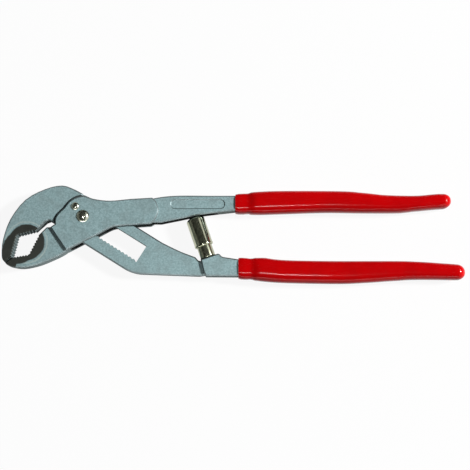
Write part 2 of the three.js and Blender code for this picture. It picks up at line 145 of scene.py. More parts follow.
class Graph:
    """Short calls for one shader node tree."""

    def __init__(self, tree: bpy.types.NodeTree) -> None:
        """Keep the tree."""
        self.tree = tree

    def add(self, kind: str, **settings: object) -> bpy.types.Node:
        """Add a node and set its own properties.

        Args:
            kind: The node's Blender type name.
            settings: Property names and values.

        Returns:
            The new node.
        """
        node = self.tree.nodes.new(kind)
        for name, value in settings.items():
            setattr(node, name, value)
        return node

    def set(self, node: bpy.types.Node, **values: object) -> None:
        """Set input sockets by name, with underscores for spaces."""
        for name, value in values.items():
            node.inputs[name.replace("_", " ")].default_value = value

    def link(self, source: bpy.types.NodeSocket, target: bpy.types.NodeSocket) -> None:
        """Join an output to an input."""
        self.tree.links.new(source, target)

    def noise(self, scale: float, detail: float, roughness: float) -> bpy.types.NodeSocket:
        """Add a noise texture on Object coordinates.

        Args:
            scale: Cycles per metre.
            detail: Octaves.
            roughness: Share of each finer octave.

        Returns:
            The noise value, about 0.5.
        """
        place = self.add("ShaderNodeTexCoord")
        texture = self.add("ShaderNodeTexNoise")
        self.set(texture, Scale=scale, Detail=detail, Roughness=roughness)
        self.link(place.outputs["Object"], texture.inputs["Vector"])
        return texture.outputs["Fac"]

    def ramp(self, value: bpy.types.NodeSocket, low: float, high: float,
             to_low: float, to_high: float) -> bpy.types.NodeSocket:
        """Map a value smoothly from one range to another.

        Args:
            value: The socket to map.
            low: Start of the source range.
            high: End of the source range.
            to_low: Result at the start.
            to_high: Result at the end.

        Returns:
            The mapped value.
        """
        node = self.add("ShaderNodeMapRange", interpolation_type="SMOOTHSTEP")
        self.set(node, From_Min=low, From_Max=high, To_Min=to_low, To_Max=to_high)
        self.link(value, node.inputs["Value"])
        return node.outputs["Result"]

    def scaled(self, value: bpy.types.NodeSocket, factor: float) -> bpy.types.NodeSocket:
        """Multiply a value by a fixed factor."""
        node = self.add("ShaderNodeMath", operation="MULTIPLY")
        self.link(value, node.inputs[0])
        node.inputs[1].default_value = factor
        return node.outputs["Value"]

    def mix(self, fac: bpy.types.NodeSocket, first: object, second: object) -> bpy.types.NodeSocket:
        """Mix two colours, each a socket or a fixed colour.

        Args:
            fac: Share of the second colour.
            first: Colour where fac is 0.
            second: Colour where fac is 1.

        Returns:
            The mixed colour.
        """
        node = self.add("ShaderNodeMix", data_type="RGBA")
        self.link(fac, node.inputs["Factor"])
        for end, name in ((first, "A"), (second, "B")):
            socket = next(s for s in node.inputs if s.name == name and s.type == "RGBA")
            if isinstance(end, bpy.types.NodeSocket):
                self.link(end, socket)
            else:
                socket.default_value = end
        return next(s for s in node.outputs if s.type == "RGBA")

    def bump(self, height: bpy.types.NodeSocket, strength: float, distance: float) -> bpy.types.NodeSocket:
        """Turn a height into a bumped normal.

        Args:
            height: The height, 0 to 1.
            strength: Share of the bump that is used.
            distance: Height of the bump in metres.

        Returns:
            The normal.
        """
        node = self.add("ShaderNodeBump")
        self.set(node, Strength=strength, Distance=distance)
        self.link(height, node.inputs["Height"])
        return node.outputs["Normal"]


class SharedEffects:
    """Shader groups that are placed more than once."""

    GRAIN_SCALES = {"Speckle Scale": 1100.0, "Cloud Scale": 70.0}
    GRAIN_DETAIL = {"Speckle": 3.0, "Cloud": 4.0}
    GRAIN_ROUGHNESS = 0.6
    STAIN_PLACE = {"X": 0.0, "Y": 0.0, "Radius": 0.01}
    STAIN_NOISE = (260.0, 2.0, 0.5)
    STAIN_WOBBLE = 0.1
    CORE_EDGE = (1.0, 1.08)
    RING_RISE = (1.12, 1.16)
    RING_FALL = (1.18, 1.23)

    @staticmethod
    def group(name: str, inputs: dict[str, float], outputs: list[str],
              fill: Callable[[Graph, bpy.types.Node, bpy.types.Node], None]) -> bpy.types.NodeTree:
        """Make a shader group with float sockets.

        Args:
            name: Name of the group.
            inputs: Input names and their defaults.
            outputs: Output names.
            fill: Adds the nodes between the group's input and output nodes.

        Returns:
            The finished group.
        """
        tree = bpy.data.node_groups.new(name, "ShaderNodeTree")
        for label, default in inputs.items():
            socket = tree.interface.new_socket(label, in_out="INPUT", socket_type="NodeSocketFloat")
            socket.default_value = default
        for label in outputs:
            tree.interface.new_socket(label, in_out="OUTPUT", socket_type="NodeSocketFloat")
        graph = Graph(tree)
        fill(graph, graph.add("NodeGroupInput"), graph.add("NodeGroupOutput"))
        return tree

    @classmethod
    def grain(cls) -> bpy.types.NodeTree:
        """Blasted metal: fine speckle and broad cloudiness, each about 0.5."""

        def fill(graph: Graph, source: bpy.types.Node, result: bpy.types.Node) -> None:
            """Add the two noises."""
            place = graph.add("ShaderNodeTexCoord")
            for name, detail in cls.GRAIN_DETAIL.items():
                texture = graph.add("ShaderNodeTexNoise")
                graph.set(texture, Detail=detail, Roughness=cls.GRAIN_ROUGHNESS)
                graph.link(place.outputs["Object"], texture.inputs["Vector"])
                graph.link(source.outputs[name + " Scale"], texture.inputs["Scale"])
                graph.link(texture.outputs["Fac"], result.inputs[name])

        return cls.group("blasted_grain", cls.GRAIN_SCALES, list(cls.GRAIN_DETAIL), fill)

    @classmethod
    def heat(cls) -> bpy.types.NodeTree:
        """Hardening stain round a point: a dark core and a pale ring outside it."""

        def fill(graph: Graph, source: bpy.types.Node, result: bpy.types.Node) -> None:
            """Measure the distance in plan and shape it."""
            place = graph.add("ShaderNodeTexCoord")
            split = graph.add("ShaderNodeSeparateXYZ")
            graph.link(place.outputs["Object"], split.inputs["Vector"])
            centre = graph.add("ShaderNodeCombineXYZ")
            flat = graph.add("ShaderNodeCombineXYZ")
            for axis in "XY":
                graph.link(split.outputs[axis], flat.inputs[axis])
                graph.link(source.outputs[axis], centre.inputs[axis])
            apart = graph.add("ShaderNodeVectorMath", operation="DISTANCE")
            graph.link(flat.outputs["Vector"], apart.inputs[0])
            graph.link(centre.outputs["Vector"], apart.inputs[1])
            share = graph.add("ShaderNodeMath", operation="DIVIDE")
            graph.link(apart.outputs["Value"], share.inputs[0])
            graph.link(source.outputs["Radius"], share.inputs[1])
            wobble = graph.add("ShaderNodeMath", operation="MULTIPLY_ADD")
            graph.link(graph.noise(*cls.STAIN_NOISE), wobble.inputs[0])
            wobble.inputs[1].default_value = cls.STAIN_WOBBLE
            graph.link(share.outputs["Value"], wobble.inputs[2])
            ratio = wobble.outputs["Value"]
            graph.link(graph.ramp(ratio, *cls.CORE_EDGE, 1.0, 0.0), result.inputs["Core"])
            rise = graph.ramp(ratio, *cls.RING_RISE, 0.0, 1.0)
            fall = graph.ramp(ratio, *cls.RING_FALL, 1.0, 0.0)
            ring = graph.add("ShaderNodeMath", operation="MULTIPLY")
            graph.link(rise, ring.inputs[0])
            graph.link(fall, ring.inputs[1])
            graph.link(ring.outputs["Value"], result.inputs["Ring"])

        return cls.group("heat_stain", cls.STAIN_PLACE, ["Core", "Ring"], fill)


@dataclass(frozen=True)
class SteelFinish:
    """Satin forged or hardened steel: blasted grain, ground edges, rougher side walls with painted shade, and
    painted shade inside the pocket.
    """

    name: str
    colour: Colour
    light: Colour
    roughness: float
    metallic: float
    grain: float
    # Darker tone of the mottled patches, also used as painted shade on every steep side wall.
    scale: Colour = (0.15, 0.19, 0.19, 1.0)
    ground: Colour = (0.16, 0.2, 0.205, 1.0)
    # Near-black painted shade for the inside of the pocket.
    pocket_shade_colour: Colour = (0.01, 0.011, 0.011, 1.0)
    coarser: float = 0.4
    gloss: float = 0.25
    speckle: float = 900.0
    cloud: float = 120.0
    mottle: float = 0.3
    mottle_span: Pair = (0.4, 0.62)
    smoother: float = 0.05
    duller: float = 0.07
    edge_metallic: float = 0.9
    bump: float = 0.05 * MM

    def make(self, effects: Effects) -> bpy.types.Material:
        """Build the material.

        Args:
            effects: The shared shader groups.

        Returns:
            The material.
        """
        material, graph, shader = new_material(self.name)
        grain = graph.add("ShaderNodeGroup", node_tree=effects.grain)
        graph.set(grain, Speckle_Scale=self.speckle, Cloud_Scale=self.cloud)
        fleck = graph.ramp(grain.outputs["Speckle"], *NOISE_SPAN, 0.0, 1.0)
        patch = graph.ramp(grain.outputs["Cloud"], *self.mottle_span, 0.0, self.mottle)
        colour = graph.mix(patch, graph.mix(fleck, self.colour, self.light), self.scale)
        rough = graph.ramp(grain.outputs["Cloud"], *NOISE_SPAN, self.roughness - self.smoother,
                           self.roughness + self.duller)
        edge = graph.add("ShaderNodeAttribute", attribute_name=EDGE)
        colour = graph.mix(edge.outputs["Fac"], colour, self.ground)
        colour = self.dress(graph, effects, colour)
        # Every steep side wall takes the darker scale colour: painted shade set by the wall's direction. The
        # same mask also makes the walls rougher.
        wall = graph.add("ShaderNodeAttribute", attribute_name=WALL)
        colour = graph.mix(wall.outputs["Fac"], colour, self.scale)
        # The inside of the pocket between the cheeks is painted almost black: painted shade.
        pocket = graph.add("ShaderNodeAttribute", attribute_name=POCKET)
        colour = graph.mix(pocket.outputs["Fac"], colour, self.pocket_shade_colour)
        bare = graph.ramp(edge.outputs["Fac"], 0.0, 1.0, self.metallic, self.edge_metallic)
        graph.link(bare, shader.inputs["Metallic"])
        graph.link(colour, shader.inputs["Base Color"])
        coarse = graph.add("ShaderNodeMath", operation="MULTIPLY_ADD")
        graph.link(wall.outputs["Fac"], coarse.inputs[0])
        coarse.inputs[1].default_value = self.coarser
        graph.link(rough, coarse.inputs[2])
        graph.link(coarse.outputs["Value"], shader.inputs["Roughness"])
        graph.set(shader, Specular_IOR_Level=self.gloss)
        graph.link(graph.bump(grain.outputs["Speckle"], self.grain, self.bump), shader.inputs["Normal"])
        return material

    def dress(self, graph: Graph, effects: Effects, colour: bpy.types.NodeSocket) -> bpy.types.NodeSocket:
        """Return the colour unchanged; a finish with stains adds them here."""
        return colour


@dataclass(frozen=True)
class JawSteelFinish(SteelFinish):
    """Forged steel with the dark hardening stain round the jaws."""

    dark: Colour = (0.030, 0.033, 0.028, 1.0)
    pale: Colour = (0.42, 0.50, 0.47, 1.0)
    ring: float = 0.6
    spots: tuple[Triple, ...] = (
        (-36.2, -16.9, 11.9), (-41.0, -20.5, 10.4), (-49.6, -28.8, 8.0))

    def dress(self, graph: Graph, effects: Effects, colour: bpy.types.NodeSocket) -> bpy.types.NodeSocket:
        """Lay the pale ring and the dark cores over the steel.

        Args:
            graph: The material's node tree.
            effects: The shared shader groups.
            colour: The steel's colour.

        Returns:
            The stained colour.
        """
        stains = []
        for x, y, radius in self.spots:
            stain = graph.add("ShaderNodeGroup", node_tree=effects.heat)
            graph.set(stain, X=x * MM, Y=y * MM, Radius=radius * MM)
            stains.append(stain)
        colour = graph.mix(graph.scaled(stains[0].outputs["Ring"], self.ring), colour, self.pale)
        for stain in stains:
            colour = graph.mix(stain.outputs["Core"], colour, self.dark)
        return colour


@dataclass(frozen=True)
class PolishedFinish:
    """Polished rivet heads and plated tubes, with a faint fine-grained bump."""

    name: str
    colour: Colour
    worn: Colour
    roughness: float
    lines: float
    cloud: float = 220.0
    worn_span: Pair = (0.35, 0.75)
    duller: float = 1.8
    bump: float = 0.01 * MM

    def make(self, effects: Effects) -> bpy.types.Material:
        """Build the material.

        Args:
            effects: The shared shader groups.

        Returns:
            The material.
        """
        material, graph, shader = new_material(self.name)
        graph.set(shader, Metallic=1.0)
        grain = graph.add("ShaderNodeGroup", node_tree=effects.grain)
        graph.set(grain, Cloud_Scale=self.cloud)
        patch = graph.ramp(grain.outputs["Cloud"], *self.worn_span, 0.0, 1.0)
        graph.link(graph.mix(patch, self.colour, self.worn), shader.inputs["Base Color"])
        dull = self.roughness * self.duller
        rough = graph.ramp(grain.outputs["Cloud"], *NOISE_SPAN, self.roughness, dull)
        graph.link(rough, shader.inputs["Roughness"])
        graph.link(graph.bump(grain.outputs["Speckle"], self.lines, self.bump), shader.inputs["Normal"])
        return material


@dataclass(frozen=True)
class VinylFinish:
    """Dipped glossy vinyl with a slight orange peel."""

    name: str
    colour: Colour
    deep: Colour
    roughness: float
    gloss: float = 0.11
    speckle: float = 420.0
    cloud: float = 55.0
    deep_span: Pair = (0.35, 0.7)
    duller: float = 0.08
    peel: float = 0.12
    bump: float = 0.06 * MM

    def make(self, effects: Effects) -> bpy.types.Material:
        """Build the material.

        Args:
            effects: The shared shader groups.

        Returns:
            The material.
        """
        material, graph, shader = new_material(self.name)
        graph.set(shader, Specular_IOR_Level=self.gloss)
        grain = graph.add("ShaderNodeGroup", node_tree=effects.grain)
        graph.set(grain, Speckle_Scale=self.speckle, Cloud_Scale=self.cloud)
        patch = graph.ramp(grain.outputs["Cloud"], *self.deep_span, 0.0, 1.0)
        graph.link(graph.mix(patch, self.colour, self.deep), shader.inputs["Base Color"])
        dull = self.roughness + self.duller
        rough = graph.ramp(grain.outputs["Cloud"], *NOISE_SPAN, self.roughness, dull)
        graph.link(rough, shader.inputs["Roughness"])
        graph.link(graph.bump(grain.outputs["Speckle"], self.peel, self.bump), shader.inputs["Normal"])
        return material


def new_material(name: str) -> tuple[bpy.types.Material, Graph, bpy.types.Node]:
    """Make an empty material with its Principled shader.

    Args:
        name: The material's name.

    Returns:
        The material, its node graph and the Principled node.
    """
    material = bpy.data.materials.new(name)
    material.use_nodes = True
    graph = Graph(material.node_tree)
    return material, graph, material.node_tree.nodes["Principled BSDF"]


@dataclass(frozen=True)
class Effects:
    """The shared shader groups, made once."""

    grain: bpy.types.NodeTree
    heat: bpy.types.NodeTree


class Palette:
    """One material for each slot of the record."""

    FINISHES = {
        Slot.FORGED: JawSteelFinish(
            "forged_steel", colour=(0.212, 0.319, 0.329, 1.0), light=(0.323, 0.467, 0.484, 1.0),
            roughness=0.45, metallic=0.25, grain=0.3),
        Slot.HARDENED: SteelFinish(
            "hardened_steel", colour=(0.13, 0.15, 0.15, 1.0), light=(0.2, 0.22, 0.22, 1.0),
            roughness=0.4, metallic=0.9, grain=0.2),
        Slot.RIVET: PolishedFinish(
            "rivet_steel", colour=(0.52, 0.54, 0.44, 1.0), worn=(0.4, 0.42, 0.34, 1.0),
            roughness=0.12, lines=0.1),
        Slot.TUBE: PolishedFinish(
            "bright_tube", colour=(0.49, 0.505, 0.37, 1.0), worn=(0.38, 0.395, 0.29, 1.0),
            roughness=0.1, lines=0.1),
        Slot.WIRE: PolishedFinish(
            "spring_wire", colour=(0.4, 0.4, 0.39, 1.0), worn=(0.3, 0.3, 0.3, 1.0),
            roughness=0.3, lines=0.2),
        Slot.VINYL: VinylFinish(
            "red_vinyl", colour=(0.5, 0.001, 0.002, 1.0), deep=(0.42, 0.001, 0.002, 1.0), roughness=0.1),
    }

    def __init__(self) -> None:
        """Make the shared groups and every material."""
        effects = Effects(SharedEffects.grain(), SharedEffects.heat())
        self.materials = {slot: finish.make(effects) for slot, finish in self.FINISHES.items()}

    def dress(self, piece: bpy.types.Object, slot: Slot) -> None:
        """Give a piece the material of its slot."""
        piece.data.materials.clear()
        piece.data.materials.append(self.materials[slot])


@dataclass
class Workshop:
    """The loaded frame and the palette, with the calls every sub-assembly shares."""

    frame: dict
    palette: Palette

    def mesh_of(self, node: str) -> bmesh.types.BMesh:
        """Copy a frame node into an editable mesh with its corners merged.

        Args:
            node: The node's name.

        Returns:
            The mesh.
        """
        bm = bmesh.new()
        bm.from_mesh(self.frame["nodes"][node].data)
        bmesh.ops.remove_doubles(bm, verts=bm.verts, dist=MERGE)
        return bm

    def piece(self, name: str, bm: bmesh.types.BMesh, crease: float = 34.0) -> bpy.types.Object:
        """Turn an editable mesh into a smooth-shaded object.

        Args:
            name: Name of the piece.
            bm: The mesh, which is freed.
            crease: Angle in degrees above which an edge stays sharp.

        Returns:
            The object, at the origin.
        """
        mesh = bpy.data.meshes.new(name)
        bm.to_mesh(mesh)
        bm.free()
        mesh.shade_smooth()
        mesh.set_sharp_from_angle(angle=math.radians(crease))
        piece = bpy.data.objects.new(name, mesh)
        bpy.context.scene.collection.objects.link(piece)
        return piece

    def settle(self, piece: bpy.types.Object, body: Body, slot: Slot, *nodes: str) -> bpy.types.Object:
        """Dress a piece, set it on its body and let it stand for its frame nodes.

        Args:
            piece: The finished piece.
            body: The body it moves with.
            slot: Its material slot.
            nodes: The frame nodes it stands for.

        Returns:
            The piece.
        """
        self.palette.dress(piece, slot)
        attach(piece, body.value)
        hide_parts(*nodes)
        LOG.info("%s: %d faces on %s", piece.name, len(piece.data.polygons), body.value)
        return piece


@dataclass
class Forgings:
    """The two levers, the ratchet block and the roller: machined solids with softened edges."""

    shop: Workshop
    flat: float = 1.0
    upright: float = 0.4
    level: float = 0.85
    sharp: float = 24.0
    edge: float = 0.2 * MM
    segments: int = 2
    pocket_floor: float = 3.6 * MM
    pocket_roof: float = 10.4 * MM

    def soften(self, node: str, pocketed: bool) -> bmesh.types.BMesh:
        """Copy a node, mark its kinds of surface and round its sharp edges.

        Args:
            node: The frame node.
            pocketed: Whether the faces between the pocket's floor and roof are inside a pocket.

        Returns:
            The softened mesh.
        """
        bm = self.shop.mesh_of(node)
        bmesh.ops.dissolve_limit(bm, angle_limit=math.radians(self.flat), verts=bm.verts, edges=bm.edges)
        wall = bm.faces.layers.float.new(WALL)
        edge = bm.faces.layers.float.new(EDGE)
        pocket = bm.faces.layers.float.new(POCKET)
        for face in bm.faces:
            slope = abs(face.normal.z)
            inside = all(self.pocket_floor < vert.co.z < self.pocket_roof for vert in face.verts)
            # Faces inside the pocket are marked for the painted pocket shade.
            face[pocket] = float(pocketed and inside)
            # Steep faces are marked for the painted wall shade and rougher finish.
            face[wall] = float(slope < self.upright)
            face[edge] = float(self.upright <= slope < self.level)
        limit = math.radians(self.sharp)
        edges = [e for e in bm.edges if e.is_manifold and e.calc_face_angle(0.0) > limit]
        bmesh.ops.bevel(bm, geom=edges, offset=self.edge, affect="EDGES", segments=self.segments,
                        profile=0.5, material=-1, clamp_overlap=True)
        return bm

    def build(self) -> None:
        """Make each softened piece."""
        for node, body, slot in (
            ("upper_lever", Body.UPPER, Slot.FORGED),
            ("lower_lever", Body.LOWER, Slot.FORGED),
            ("ratchet_block", Body.RATCHET, Slot.HARDENED),
            ("guide_roller", Body.UPPER, Slot.HARDENED),
        ):
            piece = self.shop.piece(node + "_solid", self.soften(node, node == "upper_lever"))
            keep = piece.modifiers.new("flat_faces", "WEIGHTED_NORMAL")
            keep.keep_sharp = True
            self.shop.settle(piece, body, slot, node)


@dataclass
class Turnings:
    """Spins profiles into round pieces: rivets and the telescoping strut."""

    steps: int = 72
    seam: float = 0.0005 * MM

    def spin(self, profile: Profile, base: Vector, axis: Vector) -> bmesh.types.BMesh:
        """Spin a profile into a closed round solid.

        Args:
            profile: Radius and height pairs in millimetres, from axis to axis.
            base: The point of the axis at height 0, in metres.
            axis: Unit direction of the axis.

        Returns:
            The round mesh.
        """
        bm = bmesh.new()
        corners = [bm.verts.new((radius * MM, 0.0, height * MM)) for radius, height in profile]
        edges = [bm.edges.new(pair) for pair in zip(corners, corners[1:])]
        bmesh.ops.spin(bm, geom=corners + edges, cent=(0, 0, 0), axis=(0, 0, 1), angle=2 * math.pi,
                       steps=self.steps, use_merge=True, use_duplicate=False)
        bmesh.ops.remove_doubles(bm, verts=bm.verts, dist=self.seam)
        bmesh.ops.recalc_face_normals(bm, faces=bm.faces)
        turn = Vector((0, 0, 1)).rotation_difference(axis).to_matrix().to_4x4()
        bmesh.ops.transform(bm, matrix=Matrix.Translation(base) @ turn, verts=bm.verts)
        return bm

    @staticmethod
    def arc(radius: float, height: float, size: float, start: float, end: float, steps: int = 5) -> Profile:
        """List the points of a rounded corner.

        Args:
            radius: Radius of the corner's centre from the axis.
            height: Height of the corner's centre.
            size: Corner radius.
            start: First angle in degrees.
            end: Last angle in degrees.
            steps: Number of chords.

        Returns:
            Radius and height pairs.
        """
        angles = [math.radians(start + (end - start) * i / steps) for i in range(steps + 1)]
        return [(radius + size * math.cos(a), height + size * math.sin(a)) for a in angles]


@dataclass
class Rivet:
    """A rivet with a domed polished head and a countersunk flush tail, in millimetres."""

    node: str
    body: Body
    shank: float
    head: float
    dome: float
    seat: float = 14.3
    rim: float = 0.2
    crown_share: float = 0.97
    crown_steps: int = 14

    def profile(self) -> Profile:
        """Radius and height pairs from the tail to the top of the dome."""
        edge = self.head / 2
        stem = self.shank / 2
        ball = (edge ** 2 + self.dome ** 2) / (2 * self.dome)
        reach = math.degrees(math.asin(min(1.0, edge / ball)))
        crown = Turnings.arc(0.0, self.seat + self.dome - ball, ball, 90 - reach * self.crown_share, 90,
                             self.crown_steps)
        tail = [(0.0, 0.0), (edge - self.rim, 0.0), (stem, edge - stem)]
        return tail + [(stem, self.seat), (edge, self.seat)] + crown

    def build(self, shop: Workshop, turnings: Turnings) -> None:
        """Spin the rivet at its node's place."""
        low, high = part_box(self.node)
        centre = (Vector(low) + Vector(high)) / 2
        bm = turnings.spin(self.profile(), Vector((centre.x, centre.y, 0.0)), Vector((0, 0, 1)))
        shop.settle(shop.piece(self.node + "_turned", bm), self.body, Slot.RIVET, self.node)


@dataclass
class SpringStrut:
    """The telescoping strut: a guide tube, a cap sliding over it and the spring inside, in millimetres."""

    shop: Workshop
    turnings: Turnings
    foot: Triple = (80.6, -26.2, 7.0)
    tilt: float = 19.0
    spigot: float = 2.5
    spigot_length: float = 7.0
    guide: float = 4.9
    guide_bore: float = 3.7
    guide_foot: float = 0.3
    guide_top: float = 16.8
    guide_floor: float = 1.4
    guide_round: float = 0.4
    mouth_steps: int = 8
    cap: float = 6.0
    cap_bore: float = 5.2
    cap_rim: float = 7.9
    cap_shoulder: float = 25.5
    cap_top: float = 28.1
    cap_ceiling: float = 25.3
    cap_bead: float = 0.16
    bead_heights: Triple = (0.75, 1.25, 1.6)
    dome_steps: int = 16
    wire: float = 0.9
    coil: float = 2.95
    coils: int = 9
    coil_steps: int = 24
    wire_sides: int = 10
    spring_foot: float = 2.15
    spring_top: float = 24.55
    stroke: float = 7.2

    @property
    def axis(self) -> Vector:
        """Unit direction of the strut, from foot to cap."""
        lean = math.radians(self.tilt)
        return Vector((-math.sin(lean), math.cos(lean), 0.0))

    @property
    def base(self) -> Vector:
        """The foot of the strut in metres."""
        return Vector(self.foot) * MM

    def guide_profile(self) -> Profile:
        """Spigot, foot, outer wall, rounded mouth and bore of the guide tube."""
        wall = (self.guide - self.guide_bore) / 2
        mouth = Turnings.arc(self.guide - wall, self.guide_top - wall, wall, 0, 180, self.mouth_steps)
        floor = self.guide_floor
        corner = self.guide_round
        bottom = Turnings.arc(self.guide - corner, self.guide_foot + corner, corner, -90, 0)
        deep = -self.spigot_length
        stem = [(0.0, deep), (self.spigot, deep), (self.spigot, self.guide_foot)]
        return stem + bottom + mouth + [(self.guide_bore, floor), (0.0, floor)]

    def cap_profile(self) -> Profile:
        """Bore, rolled rim, outer wall and dome of the cap."""
        wall = (self.cap - self.cap_bore) / 2
        rim = Turnings.arc(self.cap - wall, self.cap_rim + wall, wall, 180, 360, self.mouth_steps)
        swell = self.cap + self.cap_bead
        roll = [(r, self.cap_rim + h) for r, h in zip((swell, swell, self.cap), self.bead_heights)]
        flat = (self.cap_top - self.cap_shoulder) / self.cap
        quarter = Turnings.arc(0.0, 0.0, self.cap, 0, 90, self.dome_steps)
        dome = [(r, self.cap_shoulder + h * flat) for r, h in quarter]
        return [(0.0, self.cap_ceiling), (self.cap_bore, self.cap_ceiling)] + rim + roll + dome

    def spring_mesh(self) -> bmesh.types.BMesh:
        """Wind the spring as one round wire.

        Returns:
            The wire's mesh.
        """
        bm = bmesh.new()
        steps = self.coils * self.coil_steps
        rise = (self.spring_top - self.spring_foot) * MM
        ring = bmesh.ops.create_circle(bm, segments=self.wire_sides, radius=self.wire / 2 * MM)["verts"]
        stand = Matrix.Translation((self.coil * MM, 0, 0)) @ Matrix.Rotation(math.radians(90), 4, "X")
        bmesh.ops.transform(bm, matrix=stand, verts=ring)
        bmesh.ops.spin(bm, geom=bm.verts[:] + bm.edges[:], cent=(0, 0, 0), axis=(0, 0, 1),
                       dvec=(0, 0, rise / steps), angle=2 * math.pi * self.coils, steps=steps)
        bmesh.ops.holes_fill(bm, edges=[e for e in bm.edges if e.is_boundary])
        bmesh.ops.recalc_face_normals(bm, faces=bm.faces)
        turn = Vector((0, 0, 1)).rotation_difference(self.axis).to_matrix().to_4x4()
        place = Matrix.Translation(self.base + self.axis * self.spring_foot * MM) @ turn
        bmesh.ops.transform(bm, matrix=place, verts=bm.verts)
        return bm

    def build(self) -> None:
        """Make the guide, the cap and the spring."""
        for name, profile, body in (
            ("spring_guide", self.guide_profile(), Body.LOWER),
            ("spring_cap", self.cap_profile(), Body.CAP),
        ):
            bm = self.turnings.spin(profile, self.base, self.axis)
            self.shop.settle(self.shop.piece(name + "_turned", bm), body, Slot.TUBE, name)
        spring = self.shop.piece("return_spring_wound", self.spring_mesh())
        self.shop.settle(spring, Body.LOWER, Slot.WIRE, "return_spring")
        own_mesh(spring)


